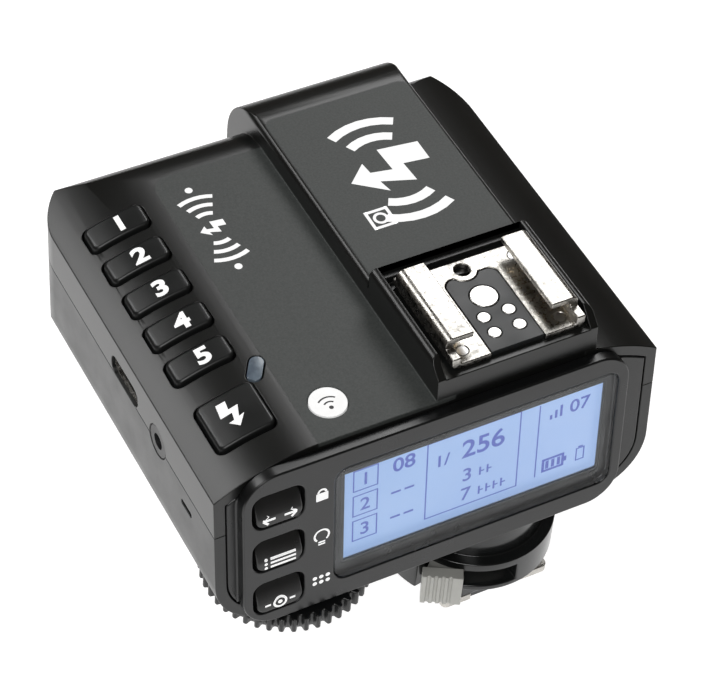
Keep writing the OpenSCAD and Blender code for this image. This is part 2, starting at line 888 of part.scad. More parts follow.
module foot_collar() {
    guard_r = 15.2;
    color("#2f3334") difference() {
        union() {
            rise(collar_z, ring_z + ring_h + 1.75) circle(r = collar_r, $fn = 96);
            rise(collar_z, under_z) circle(r = collar_r - 1.8, $fn = 96);
            // stop that shields the lever
            rise(collar_z, collar_z + tab_h + 1.6) intersection() {
                circle(r = guard_r, $fn = 96);
                rotate(190) translate([0, -0.6]) square([guard_r, 5]);
            }
            rise(foot_t, collar_z + touch) square([neck_w, foot_l], center = true);
        }
        // room for the lever's ring, open to the side where its arm swings
        difference() {
            rise(ring_z - gap, ring_z + ring_h + gap) circle(r = ring_r + gap);
            rise(ring_z - 1, ring_z + ring_h + 1) circle(r = hub_r);
        }
        intersection() {
            rise(ring_z - gap, ring_z + ring_h + gap) circle(r = collar_r + 1);
            rise(0, under_z) lever_sector();
        }
        translate([0, lock_pin_y, 0]) cylinder(r = lock_pin_r + fit, h = ring_z);
        foot_screw_places() translate([0, 0, under_z - 6]) cylinder(r = 0.9, h = 7);
        for (p = pin_places()) translate([p[0], p[1], 0]) {
            cylinder(r = p[2] + fit, h = collar_z + 2.2);
            translate([0, 0, foot_t + 0.9]) cylinder(r = p[2] + 0.45, h = collar_z + 1.3 - foot_t);
        }
    }
}

// Wedge that the lever's arm sweeps, a little wider than its swing
module lever_sector() {
    from = tab_angle - 17;
    to = tab_angle + 17 + lever_swing;
    mid = (from + to) / 2;
    polygon([[0, 0], 30 * [cos(from), sin(from)], 30 * [cos(mid), sin(mid)], 30 * [cos(to), sin(to)]]);
}

module foot_plate() {
    color("#cfcbc0") difference() {
        rise(0, foot_t) difference() {
            round_rect(foot_w, foot_l, 1);
            translate([0, -foot_l / 2 + 5.6]) square([8.8, 11.4], center = true);
            translate([0, 0]) circle(r = 3.6);
        }
        translate([0, lock_pin_y, -1]) cylinder(r = lock_pin_r + fit, h = foot_t + 2);
    }
}

module foot_insulator() {
    color("#26292a") difference() {
        rise(0.05, foot_t) {
            translate([0, -foot_l / 2 + 5.9]) square([8.6, 10.8], center = true);
            circle(r = 3.5);
        }
        for (p = pin_places()) translate([p[0], p[1], -1]) cylinder(r = p[2] + fit, h = foot_t + 2);
    }
}

// Sprung contact pins: x, y and radius. The first is the main one.
function pin_places() = concat([[0, 0, 1.1]], [for (p = small_contacts()) [p[0], p[1] + 0.3, 0.7]]);

module contact_pin(i) {
    p = pin_places()[i];
    color("#d8b45a") translate([p[0], p[1], 0]) {
        translate([0, 0, -0.6]) cylinder(r = p[2], h = foot_t + 2.2);
        translate([0, 0, foot_t + 1]) cylinder(r = p[2] + 0.35, h = 0.6);
    }
}

module contact_pin_main() { contact_pin(0); }
module contact_pin_a() { contact_pin(1); }
module contact_pin_b() { contact_pin(2); }
module contact_pin_c() { contact_pin(3); }
module contact_pin_d() { contact_pin(4); }

module lock_pin() {
    color("#c4c6c8") translate([0, lock_pin_y, 0.2])
        cylinder(r = lock_pin_r, h = ring_z - gap - 0.2);
}

module lock_lever() {
    tab_z = collar_z - 0.3;
    color("#c9cac5") {
        foot_axis_ring(hub_r + 0.3, ring_r, ring_z, ring_z + ring_h);
        rotate(tab_angle) box(ring_r - 0.6, tab_reach + 0.4, -2.4, 2.4, ring_z, ring_z + ring_h);
        translate(tab_reach * [cos(tab_angle), sin(tab_angle), 0]) rotate(tab_turn)
            translate([0.6, 0, 0]) difference() {
                box(0, tab_t, -tab_w / 2, tab_w / 2, tab_z, tab_z + tab_h);
                for (i = [0 : 3]) translate([tab_t, -tab_w / 2 + 1 + i * 1.1, tab_z - 1])
                    cylinder(r = 0.28, h = tab_h + 2);
            }
    }
}

module foot_screws() {
    color("#8d8f92") foot_screw_places() translate([0, 0, under_z - 5]) {
        cylinder(r = 0.85, h = 5 + wall);
        translate([0, 0, 5 + wall]) cylinder(r = 1.7, h = 1.1);
    }
}

// ---------- sockets, switches and lamp ----------

module usb_shell() {
    color("#b9bcc0") along_x(left_x + 0.5, left_x + 7.8) translate([usb_y, usb_z]) difference() {
        round_rect(usb_w + 0.6, usb_h + 0.6, 1.5);
        round_rect(usb_w, usb_h, 1.25);
    }
}

module usb_tongue() {
    color("#1c1c1c") {
        along_x(left_x + 1.2, left_x + 7.8) translate([usb_y, usb_z]) square([6.6, 0.7], center = true);
        along_x(left_x + 7.8, left_x + 8.8) translate([usb_y, usb_z]) round_rect(usb_w, usb_h, 1.2);
    }
}

module sync_jack() {
    color("#1f2122") difference() {
        union() {
            along_x(left_x + 0.1, left_x + wall + touch) translate([jack_y, jack_z]) circle(r = jack_r);
            box(left_x + wall + gap, left_x + 11.5, jack_y - 3.2, jack_y + 3.2,
                jack_z - 2.6, jack_z + 2.6);
            along_x(left_x + wall, left_x + wall + gap + touch)
                translate([jack_y, jack_z]) circle(r = jack_r);
        }
        along_x(left_x, left_x + 0.1 + jack_bore_l) translate([jack_y, jack_z]) circle(r = jack_bore_r);
    }
}

module slide_switch(y) {
    color("#26292a") {
        box(right_x - wall - gap - 0.2, right_x + 0.7, y - slider_w / 2, y + slider_w / 2,
            slider_z - slider_h / 2, slider_z + slider_h / 2);
        box(right_x - wall - gap - 1.2, right_x - wall - gap, y - slider_w / 2 - 1, y + slider_w / 2 + 1,
            slider_z - slider_h / 2 - 0.8, slider_z + slider_h / 2 + 0.6);
    }
}

module power_switch() { slide_switch(slider_y[0]); }
module assist_switch() { slide_switch(slider_y[1]); }

module assist_lens() {
    color("#8c1a1a") along_y(front_y + hump_reach - 1.6, front_y + hump_reach - 0.1)
        translate([lens_x, lens_z]) round_rect(lens_w, lens_h, 0.9);
}

module assist_led() {
    tip = front_y + hump_reach - 2;
    color("#e8c8c8") {
        along_y(tip - 2.4, tip) translate([lens_x, lens_z]) circle(r = 1.5);
        along_y(tip - 3.2, tip - 2.4) translate([lens_x, lens_z]) circle(r = 1.9);
    }
}

// ---------- battery bay ----------

module battery_tray() {
    color("#2a2d2e") difference() {
        box(mid_x - tray_half, mid_x + tray_half, tray_back - tray_t, tray_front,
            cell_z - 3, tray_top + tray_t);
        box(mid_x - tray_half + tray_t, mid_x + tray_half - tray_t, tray_back, tray_front - tray_t,
            under_z - 1, tray_top);
        difference() {
            box(mid_x - body_w, mid_x + body_w, front_y - corner_r, front_y + 1, under_z, seam_z + 5);
            casing(wall + gap, rear_y);
        }
    }
}

module battery_door() {
    color("#3a3e3f") {
        intersection() {
            casing(0, rear_y);
            box(mid_x - door_half, mid_x + door_half, door_back, front_y + 1, under_z - 1, under_z + door_t);
        }
        box(mid_x - door_half - door_tongue, mid_x + door_half + door_tongue, door_back,
            front_y - corner_r, under_z + 0.6, under_z + 1.4);
    }
}

module battery_cells() {
    end = cell_l / 2;
    nub = [[end - touch, end + 1], [-end - 1, -end + touch]];
    color("#6b7075") for (i = [0, 1]) {
        along_x(mid_x - end, mid_x + end) translate([cell_y[i], cell_z]) circle(r = cell_r);
        along_x(mid_x + nub[i][0], mid_x + nub[i][1])
            translate([cell_y[i], cell_z]) circle(r = 2.6);
    }
}

// Conical spring at each cell's flat end, drawn as stacked rings
module battery_springs() {
    color("#b9bcc0") for (i = [0, 1]) {
        side = i == 0 ? -1 : 1;
        for (k = [0 : 3])
            translate([mid_x + side * (cell_l / 2 + 0.6 + k * 1.1), cell_y[i], cell_z]) rotate([0, 90, 0])
                rotate_extrude() translate([2.4 + 0.5 * k, 0]) circle(r = 0.5, $fn = 16);
    }
}

module battery_plates() {
    reach = tray_half - tray_t - 0.35;
    color("#b9bcc0") for (i = [0, 1], x = [mid_x - reach, mid_x + reach])
        box(x - 0.25, x + 0.25, cell_y[i] - 5, cell_y[i] + 5, cell_z - 2.9, cell_z + 5);
}

module housing_screws() {
    color("#8d8f92") screw_places() {
        translate([0, 0, under_z + 0.9]) cylinder(r = 0.85, h = seam_h + 4);
        translate([0, 0, under_z + 0.1]) cylinder(r = 1.8, h = 0.85);
    }
}

top_housing();
bottom_housing();
rear_panel();
lcd_window();
lcd_display();
lcd_frame();
lcd_backlight();
display_board();
mode_button();
menu_button();
set_button();
rear_switches();
group_button_a();
group_button_b();
group_button_c();
group_button_d();
group_button_e();
test_button();
status_light_pipe();
wireless_badge();
deck_board();
deck_switches();
main_board();
radio_module();
buzzer();
select_dial();
dial_shaft();
dial_encoder();
shoe_rails();
shoe_insulator();
shoe_contacts();
shoe_springs();
shoe_screws();
foot_collar();
foot_plate();
foot_insulator();
contact_pin_main();
contact_pin_a();
contact_pin_b();
contact_pin_c();
contact_pin_d();
lock_pin();
lock_lever();
foot_screws();
usb_shell();
usb_tongue();
sync_jack();
power_switch();
assist_switch();
assist_lens();
assist_led();
battery_tray();
battery_door();
battery_cells();
battery_springs();
battery_plates();
housing_screws();
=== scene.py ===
"""Looks of a wireless flash trigger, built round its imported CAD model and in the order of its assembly."""

import math

import bmesh
import bpy
from mathutils import Matrix, Vector
from mathutils.bvhtree import BVHTree


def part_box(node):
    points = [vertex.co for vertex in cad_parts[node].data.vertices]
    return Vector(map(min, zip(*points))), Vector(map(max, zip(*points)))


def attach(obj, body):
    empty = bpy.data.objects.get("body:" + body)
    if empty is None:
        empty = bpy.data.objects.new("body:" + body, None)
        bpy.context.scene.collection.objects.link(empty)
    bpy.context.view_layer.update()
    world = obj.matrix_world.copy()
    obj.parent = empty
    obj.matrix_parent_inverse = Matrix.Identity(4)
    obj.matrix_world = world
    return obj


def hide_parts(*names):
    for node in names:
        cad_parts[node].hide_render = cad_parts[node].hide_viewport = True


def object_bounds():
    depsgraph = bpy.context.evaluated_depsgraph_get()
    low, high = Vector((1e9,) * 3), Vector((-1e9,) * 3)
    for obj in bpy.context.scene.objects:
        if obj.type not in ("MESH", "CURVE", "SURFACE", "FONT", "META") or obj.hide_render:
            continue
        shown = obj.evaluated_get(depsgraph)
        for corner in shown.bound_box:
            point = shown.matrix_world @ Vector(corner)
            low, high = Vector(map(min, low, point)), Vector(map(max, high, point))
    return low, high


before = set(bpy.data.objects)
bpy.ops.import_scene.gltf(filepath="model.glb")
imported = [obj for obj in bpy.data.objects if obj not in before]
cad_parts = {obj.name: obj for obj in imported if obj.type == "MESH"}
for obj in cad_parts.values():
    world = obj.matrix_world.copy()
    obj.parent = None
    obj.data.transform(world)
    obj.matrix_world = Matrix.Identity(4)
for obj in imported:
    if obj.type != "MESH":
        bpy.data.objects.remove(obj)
cad_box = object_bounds()
MM = 0.001

# ---------- upper shell ----------
# The upper half of the casing with its hump and guard rails, one moulding in black plastic. The flat
# of the deck and of the hump are spark-eroded to a fine grain, and the rest is left smoother.


WELD = 0.012 * MM
FLAT_BELOW = math.radians(0.6)
ROUNDED_ABOVE = math.radians(35)
SMOOTH_BELOW = math.radians(40)


def rounded_copy(node, width, chosen=None, steps=3):
    """A mesh of the CAD node with its doubles merged and its sharp edges rounded to a width."""
    mesh = bmesh.new()
    mesh.from_mesh(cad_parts[node].data)
    bmesh.ops.remove_doubles(mesh, verts=mesh.verts, dist=WELD)
    bmesh.ops.dissolve_limit(mesh, angle_limit=FLAT_BELOW, verts=mesh.verts, edges=mesh.edges)
    edges = [
        e
        for e in mesh.edges
        if len(e.link_faces) == 2
        and e.calc_face_angle() > ROUNDED_ABOVE
        and (chosen is None or (chosen(e.verts[0].co) and chosen(e.verts[1].co)))
    ]
    bmesh.ops.bevel(mesh, geom=edges, offset=width, offset_type="OFFSET", affect="EDGES",
                    segments=steps, profile=0.5, material=-1, clamp_overlap=False)
    return mesh


def make_piece(name, mesh, material, body, stands_for=()):
    """An object from a bmesh, shaded smooth over its slight bends, that rides on a body."""
    data = bpy.data.meshes.new(name)
    mesh.to_mesh(data)
    mesh.free()
    data.shade_smooth()
    data.set_sharp_from_angle(angle=SMOOTH_BELOW)
    data.materials.append(material)
    piece = bpy.data.objects.new(name, data)
    bpy.context.scene.collection.objects.link(piece)
    even = piece.modifiers.new("even shading", "WEIGHTED_NORMAL")
    even.keep_sharp = True
    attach(piece, body)
    if stands_for:
        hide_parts(*stands_for)
    return piece


def shader_parts(name):
    """A new material with its node tree, its principled shader and a link function."""
    material = bpy.data.materials.new(name)
    material.use_nodes = True
    tree = material.node_tree
    return material, tree, tree.nodes["Principled BSDF"], tree.links.new


def object_noise(tree, size, detail=2.0, roughness=0.5):
    """Noise on object coordinates whose grains are about the given size in metres."""
    place = tree.nodes.new("ShaderNodeTexCoord")
    noise = tree.nodes.new("ShaderNodeTexNoise")
    noise.inputs["Scale"].default_value = 1 / size
    noise.inputs["Detail"].default_value = detail
    noise.inputs["Roughness"].default_value = roughness
    tree.links.new(place.outputs["Object"], noise.inputs["Vector"])
    return noise.outputs["Fac"]


def spread(tree, source, low, high, start=0.3, end=0.7):
    """The source's values from start to end, stretched to run from low to high."""
    stretch = tree.nodes.new("ShaderNodeMapRange")
    stretch.inputs["From Min"].default_value = start
    stretch.inputs["From Max"].default_value = end
    stretch.inputs["To Min"].default_value = low
    stretch.inputs["To Max"].default_value = high
    tree.links.new(source, stretch.inputs["Value"])
    return stretch.outputs["Result"]


def blend(tree, share, first, second):
    """The first colour where share is 0 and the second where it is 1; each may be a socket."""
    mix = tree.nodes.new("ShaderNodeMix")
    mix.data_type = "RGBA"
    for socket, colour in ((mix.inputs[6], first), (mix.inputs[7], second)):
        if isinstance(colour, tuple):
            socket.default_value = (*colour, 1)
        else:
            tree.links.new(colour, socket)
    tree.links.new(share, mix.inputs[0])
    return mix.outputs[2]


def calculate(tree, operation, first, second=0.0):
    """One step of arithmetic between sockets or numbers."""
    step = tree.nodes.new("ShaderNodeMath")
    step.operation = operation
    for socket, value in zip(step.inputs, (first, second)):
        if isinstance(value, (int, float)):
            socket.default_value = value
        else:
            tree.links.new(value, socket)
    return step.outputs[0]


def grain_bump(tree, height, strength, depth):
    """A bump from a height socket, linked to the principled shader."""
    bump = tree.nodes.new("ShaderNodeBump")
    bump.inputs["Strength"].default_value = strength
    bump.inputs["Distance"].default_value = depth
    tree.links.new(height, bump.inputs["Height"])
    tree.links.new(bump.outputs["Normal"], tree.nodes["Principled BSDF"].inputs["Normal"])


def moulded_plastic(name, colour, rough, grain=0.22 * MM, depth=0.004 * MM):
    """Moulded plastic: fine grain, faint cloudiness, and patches polished by handling."""
    material, tree, shader, link = shader_parts(name)
    lighter = tuple(c * 1.12 for c in colour)
    darker = tuple(c * 0.90 for c in colour)
    link(blend(tree, spread(tree, object_noise(tree, 9 * MM, 3), 0, 1), darker, lighter),
         shader.inputs["Base Color"])
    link(spread(tree, object_noise(tree, 5 * MM, 4), rough - 0.04, rough + 0.04),
         shader.inputs["Roughness"])
    grain_bump(tree, object_noise(tree, grain, 3, 0.6), 0.6, depth)
    return material


def two_tones(name, first, second, rough, size, detail=2.0, roughness=0.5, glow=0.0):
    """A skin whose colour drifts between two tones in patches of a size, with a faint white emission that is
    painted light.
    """
    material, tree, shader, link = shader_parts(name)
    link(blend(tree, spread(tree, object_noise(tree, size, detail, roughness), 0, 1), first, second),
         shader.inputs["Base Color"])
    shader.inputs["Roughness"].default_value = rough
    # Painted light: a glow above zero makes the skin give off white light though it is no lamp.
    shader.inputs["Emission Color"].default_value = (1, 1, 1, 1)
    shader.inputs["Emission Strength"].default_value = glow
    return material


def along_axes(tree):
    """The three sockets of the object coordinates."""
    place = tree.nodes.new("ShaderNodeTexCoord")
    split = tree.nodes.new("ShaderNodeSeparateXYZ")
    tree.links.new(place.outputs["Object"], split.inputs[0])
    return split.outputs


def higher_than(tree, height):
    """1 above a height and 0 below it."""
    return calculate(tree, "GREATER_THAN", along_axes(tree)[2], height)


def inside_rectangle(tree, left, right, near, far, corner=3 * MM, edge=0.12 * MM):
    """1 within a round-cornered rectangle seen from above, and 0 outside it."""
    axes = along_axes(tree)
    squares = []
    for axis, start, end in ((axes[0], left, right), (axes[1], near, far)):
        offset = calculate(tree, "SUBTRACT", axis, (start + end) / 2)
        past = calculate(tree, "SUBTRACT", calculate(tree, "ABSOLUTE", offset), (end - start) / 2 - corner)
        past = calculate(tree, "MAXIMUM", past, 0.0)
        squares.append(calculate(tree, "MULTIPLY", past, past))
    distance = calculate(tree, "SQRT", calculate(tree, "ADD", *squares))
    return spread(tree, distance, 1, 0, corner - edge, corner + edge)


SIGN_DEPTH = 0.1 * MM
HUMP_RISE = 3.7 * MM
HUMP_LEFT, HUMP_RIGHT = -13.6 * MM, 12.6 * MM
FLAT_FRONT = 50 * MM
HUMP_MARGIN = 0.9 * MM
shell_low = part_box("top_housing")[0]
badge_low, badge_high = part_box("wireless_badge")
shoe_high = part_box("shoe_rails")[1]
deck_height = badge_high.z - SIGN_DEPTH
hump_height = deck_height + HUMP_RISE
seam_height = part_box("bottom_housing")[1].z
flat_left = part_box("group_button_a")[1].x + 2.6 * MM

shell_plastic, tree, shader, link = shader_parts("shell_plastic")
deck_flat = inside_rectangle(tree, flat_left, HUMP_LEFT + 3 * MM, shell_low.y - 6 * MM, FLAT_FRONT)
deck_level = calculate(tree, "SUBTRACT", higher_than(tree, deck_height - 0.6 * MM),
                       higher_than(tree, deck_height + 0.3 * MM))
hump_flat = inside_rectangle(tree, HUMP_LEFT + HUMP_MARGIN, HUMP_RIGHT - HUMP_MARGIN,
                             shoe_high.y + 2.2 * MM, FLAT_FRONT + 1.4 * MM, 1.5 * MM)
on_deck = calculate(tree, "MULTIPLY", deck_flat, deck_level)
on_hump = calculate(tree, "MULTIPLY", hump_flat, higher_than(tree, deck_height + 3 * MM))
textured = calculate(tree, "MAXIMUM", on_deck, on_hump)
speckle = spread(tree, object_noise(tree, 0.32 * MM, 3, 0.7), 0, 1)
fine_colour = blend(tree, speckle, (0.048, 0.054, 0.052), (0.078, 0.084, 0.081))
plain_colour = blend(tree, spread(tree, object_noise(tree, 12 * MM, 3), 0, 1), (0.0085, 0.0090, 0.0085),
                     (0.0115, 0.0120, 0.0115))
link(blend(tree, textured, plain_colour, fine_colour), shader.inputs["Base Color"])
link(spread(tree, textured, 0.30, 0.55, 0, 1), shader.inputs["Roughness"])
grain = object_noise(tree, 0.25 * MM, 3, 0.6)
grain_bump(tree, calculate(tree, "MULTIPLY", grain, spread(tree, textured, 0.3, 1, 0, 1)), 0.8, 0.012 * MM)


def above_seam(point):
    """True on the visible skin of the upper shell."""
    return point.z > seam_height - 0.1 * MM


top_shell = make_piece("top_shell", rounded_copy("top_housing", 0.14 * MM, above_seam), shell_plastic,
                       "casing", ["top_housing"])

# ---------- lower shell and battery door ----------
# The lower half of the casing in the same smooth plastic, and the sliding door of the battery bay.

lower_plastic = moulded_plastic("lower_plastic", (0.0105, 0.0115, 0.0115), 0.34)
make_piece("lower_shell", rounded_copy("bottom_housing", 0.15 * MM), lower_plastic, "casing",
           ["bottom_housing"])
make_piece("door", rounded_copy("battery_door", 0.2 * MM), lower_plastic, "door",
           ["battery_door"])

# ---------- rear panel ----------
# A leaning panel in satin black plastic that is clipped into the rear of both shells.

panel_plastic = moulded_plastic("panel_plastic", (0.0080, 0.0085, 0.0090), 0.30, 0.16 * MM, 0.002 * MM)
panel = make_piece("panel", rounded_copy("rear_panel", 0.3 * MM), panel_plastic, "casing",
                   ["rear_panel"])

# ---------- screen ----------
# A lit liquid-crystal screen with dark characters, and the hard-coated acrylic window in front of it.

PANEL_LEAN = math.radians(5)
panel_up = Vector((0, math.sin(PANEL_LEAN), math.cos(PANEL_LEAN)))
panel_out = Vector((0, -math.cos(PANEL_LEAN), math.sin(PANEL_LEAN)))
screen_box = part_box("lcd_display")
window_middle = sum(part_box("lcd_window"), Vector()) / 2
SCREEN_WIDTH, SCREEN_HEIGHT = 42.5 * MM, 17.7 * MM


def facing_panel(place):
    """Turns drawings made in X and Y so that they face out of the panel at a place."""
    turn = Matrix((Vector((1, 0, 0)), panel_up, panel_out)).transposed().to_4x4()
    return Matrix.Translation(place) @ turn


def bar(mesh, start, end, width):
    """Flat straight stroke between two points."""
    start, end = Vector(start), Vector(end)
    run = end - start
    turn = Matrix.Rotation(math.atan2(run.y, run.x), 4, "Z")
    stretch = Matrix.Diagonal((run.length / 2, width / 2, 1, 1))
    bmesh.ops.create_grid(mesh, x_segments=max(1, round(run.length / MM)), y_segments=1, size=1,
                          matrix=Matrix.Translation(((start + end) / 2).to_3d()) @ turn @ stretch)


def arc(mesh, middle, radius, width, start=0, end=360):
    """Flat curved stroke round a middle, between two directions in degrees."""
    heading = math.radians(start)
    direction = Vector((math.cos(heading), math.sin(heading), 0))
    centre = Vector((*middle, 0))
    inner = mesh.verts.new(centre + direction * (radius - width / 2))
    outer = mesh.verts.new(centre + direction * (radius + width / 2))
    edge = mesh.edges.new((inner, outer))
    bmesh.ops.spin(mesh, geom=[inner, outer, edge], cent=centre, axis=(0, 0, 1),
                   angle=math.radians(end - start), steps=max(6, round(abs(end - start) / 12)))


def dot(mesh, middle, radius):
    """Flat round spot."""
    bmesh.ops.create_circle(mesh, cap_ends=True, radius=radius, segments=24,
                            matrix=Matrix.Translation((*middle, 0)))


def frame_line(mesh, middle, width, height, stroke):
    """Flat outline of a rectangle."""
    x, y = middle
    for side in (-1, 1):
        across, up = side * width / 2, side * height / 2
        bar(mesh, (x - width / 2 - stroke / 2, y + up), (x + width / 2 + stroke / 2, y + up), stroke)
        bar(mesh, (x + across, y - height / 2), (x + across, y + height / 2), stroke)


def figures(mesh, text, middle, height, bold=0.0, stretch=1.0):
    """Figures in a plain typeface, centred on a place."""
    curve = bpy.data.curves.new("figures", "FONT")
    curve.body = text
    curve.size = height / 0.72
    curve.offset = bold
    holder = bpy.data.objects.new("figures", curve)
    bpy.context.scene.collection.objects.link(holder)
    bpy.context.view_layer.update()
    data = bpy.data.meshes.new_from_object(holder)
    bpy.data.objects.remove(holder)
    bpy.data.curves.remove(curve)
    spots = [v.co for v in data.vertices]
    half = Vector([(max(s[i] for s in spots) + min(s[i] for s in spots)) / 2 for i in range(3)])
    data.transform(Matrix.Translation((*middle, 0)) @ Matrix.Diagonal((stretch, 1, 1, 1))
                   @ Matrix.Translation(-half))
    mesh.from_mesh(data)
    bpy.data.meshes.remove(data)


def lay_on(name, mesh, place, surface, material, body, lift=0.03 * MM):
    """Drops a flat drawing onto an object's skin along the drawing's own depth."""
    skin = BVHTree.FromObject(surface, bpy.context.evaluated_depsgraph_get())
    into = -(place.to_3x3() @ Vector((0, 0, 1))).normalized()
    bmesh.ops.transform(mesh, matrix=place, verts=mesh.verts)
    for vert in mesh.verts:
        hit = skin.ray_cast(vert.co - into * 4 * MM, into, 9 * MM)[0]
        if hit is not None:
            vert.co = hit - into * lift
    for face in mesh.faces:
        face.normal_update()
        if face.normal.dot(into) > 0:
            face.normal_flip()
    return make_piece(name, mesh, material, body)


lit_glass, tree, shader, link = shader_parts("lit_glass")
sideways = spread(tree, along_axes(tree)[0], 0, 1, screen_box[0].x, screen_box[1].x)
tone = blend(tree, sideways, (0.27, 0.40, 0.66), (0.34, 0.47, 0.75))
glow = calculate(tree, "MULTIPLY", spread(tree, object_noise(tree, 22 * MM, 1), 0, 1), 0.35)
shader.inputs["Base Color"].default_value = (0.10, 0.14, 0.22, 1)
link(blend(tree, glow, tone, (0.40, 0.55, 0.80)), shader.inputs["Emission Color"])
shader.inputs["Emission Strength"].default_value = 0.95
shader.inputs["Roughness"].default_value = 0.4
screen_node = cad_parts["lcd_display"]
screen_node.data.materials.clear()
screen_node.data.materials.append(lit_glass)

character_ink, tree, shader, link = shader_parts("character_ink")
shader.inputs["Base Color"].default_value = (0.05, 0.07, 0.20, 1)
shader.inputs["Emission Color"].default_value = (0.085, 0.115, 0.42, 1)
shader.inputs["Emission Strength"].default_value = 0.9
shader.inputs["Roughness"].default_value = 0.5

characters = bmesh.new()
rows = (5.65 * MM, 0.55 * MM, -4.55 * MM)
for number, row in enumerate(rows):
    frame_line(characters, (-17.4 * MM, row), 3.9 * MM, 4.1 * MM, 0.22 * MM)
    figures(characters, str(number + 1), (-17.4 * MM, row), 2.5 * MM, 0.04 * MM)
figures(characters, "08", (-11.2 * MM, rows[0] + 0.4 * MM), 2.7 * MM, 0.06 * MM)
for row in rows[1:]:
    for x in (-12.4 * MM, -10.2 * MM):
        bar(characters, (x - 0.8 * MM, row), (x + 0.8 * MM, row), 0.4 * MM)
frame_line(characters, (0.3 * MM, 0.2 * MM), 15.4 * MM, 15.4 * MM, 0.22 * MM)
figures(characters, "1/", (-4.6 * MM, 3.6 * MM), 2.3 * MM, 0.05 * MM)
figures(characters, "256", (1.9 * MM, 4.2 * MM), 3.5 * MM, 0.08 * MM)
for figure, row, ticks in (("3", -1.2 * MM, 2), ("7", -5.2 * MM, 4)):
    figures(characters, figure, (-0.6 * MM, row), 2.6 * MM, 0.04 * MM)
    for step in range(ticks):
        x = (1.6 + step * 1.25) * MM
        bar(characters, (x, row - 1.1 * MM), (x, row + 0.6 * MM), 0.32 * MM)
        bar(characters, (x - 0.1 * MM, row - 0.3 * MM), (x + 0.7 * MM, row - 0.3 * MM), 0.26 * MM)
bar(characters, (11.2 * MM, -7.2 * MM), (11.2 * MM, 7.6 * MM), 0.22 * MM)
for step, height in enumerate((0.9, 1.6, 2.3)):
    x = (13.2 + step * 0.85) * MM
    bar(characters, (x, 4.0 * MM), (x, (4.0 + height) * MM), 0.42 * MM)
figures(characters, "07", (18.1 * MM, 5.2 * MM), 2.5 * MM, 0.05 * MM)
frame_line(characters, (14.2 * MM, -5.4 * MM), 3.4 * MM, 2.3 * MM, 0.45 * MM)
bar(characters, (16.3 * MM, -5.9 * MM), (16.3 * MM, -4.9 * MM), 0.5 * MM)
for x in (13.2 * MM, 14.2 * MM, 15.2 * MM):
    bar(characters, (x, -6.2 * MM), (x, -4.6 * MM), 0.55 * MM)
frame_line(characters, (18.9 * MM, -5.5 * MM), 1.3 * MM, 2.4 * MM, 0.22 * MM)
bar(characters, (18.5 * MM, -4.0 * MM), (19.3 * MM, -4.0 * MM), 0.3 * MM)
lay_on("screen_characters", characters, facing_panel(window_middle), screen_node, character_ink,
       "casing")

acrylic = bpy.data.materials.new("acrylic")
acrylic.use_nodes = True
tree = acrylic.node_tree
tree.nodes.clear()
clear = tree.nodes.new("ShaderNodeBsdfTransparent")
clear.inputs["Color"].default_value = (0.96, 0.97, 0.98, 1)
polish = tree.nodes.new("ShaderNodeBsdfGlossy")
polish.inputs["Roughness"].default_value = 0.06
side = tree.nodes.new("ShaderNodeNewGeometry")
front = calculate(tree, "SUBTRACT", 1.0, side.outputs["Backfacing"])
smears = spread(tree, object_noise(tree, 6 * MM, 4, 0.6), 0.03, 0.06)
mixed = tree.nodes.new("ShaderNodeMixShader")
tree.links.new(calculate(tree, "MULTIPLY", front, smears), mixed.inputs[0])
tree.links.new(clear.outputs[0], mixed.inputs[1])
tree.links.new(polish.outputs[0], mixed.inputs[2])
output = tree.nodes.new("ShaderNodeOutputMaterial")
tree.links.new(mixed.outputs[0], output.inputs["Surface"])
make_piece("window", rounded_copy("lcd_window", 0.12 * MM), acrylic, "casing", ["lcd_window"])

BORDER = 1.75 * MM
MASK_DEPTH = 0.56 * MM
mask_paint = two_tones("mask_paint", (0.040, 0.041, 0.042), (0.050, 0.051, 0.052), 0.45, 4 * MM)
mask = bmesh.new()
for side in (-1, 1):
    x, y = side * (SCREEN_WIDTH + BORDER) / 2, side * (SCREEN_HEIGHT + BORDER) / 2
    bar(mask, (x, -SCREEN_HEIGHT / 2 - BORDER), (x, SCREEN_HEIGHT / 2 + BORDER), BORDER)
    bar(mask, (-SCREEN_WIDTH / 2, y), (SCREEN_WIDTH / 2, y), BORDER)
bmesh.ops.transform(mask, matrix=facing_panel(window_middle - panel_out * MASK_DEPTH), verts=mask.verts)
bmesh.ops.recalc_face_normals(mask, faces=mask.faces)
make_piece("window_mask", mask, mask_paint, "casing")

# ---------- function buttons and the pictograms of the panel ----------
# Three wedge-shaped caps in satin black plastic and the signs beside them, screen-printed in white.

key_plastic = moulded_plastic("key_plastic", (0.0085, 0.0085, 0.0085), 0.30, 0.16 * MM, 0.002 * MM)
# The white ink is printed colour plus painted light: an emission of 0.40 brightens every print though ink is
# no lamp.
white_ink_painted_glow = two_tones("white_ink_painted_glow", (0.84, 0.85, 0.85), (0.93, 0.93, 0.93), 0.55, 0.5 * MM, 4, 0.7, 0.40)

key_caps = {}
for word in ("mode", "menu", "set"):
    key_caps[word] = make_piece(f"{word}_cap", rounded_copy(f"{word}_button", 0.3 * MM), key_plastic,
                                f"{word}_key", [f"{word}_button"])


def key_face(word, right=0.0, down=1.15 * MM):
    """Drawing plane on a function button, a little below its middle."""
    low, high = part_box(f"{word}_button")
    middle = Vector(((low.x + high.x) / 2 + right, low.y, (low.z + high.z) / 2))
    return facing_panel(middle - panel_up * down)


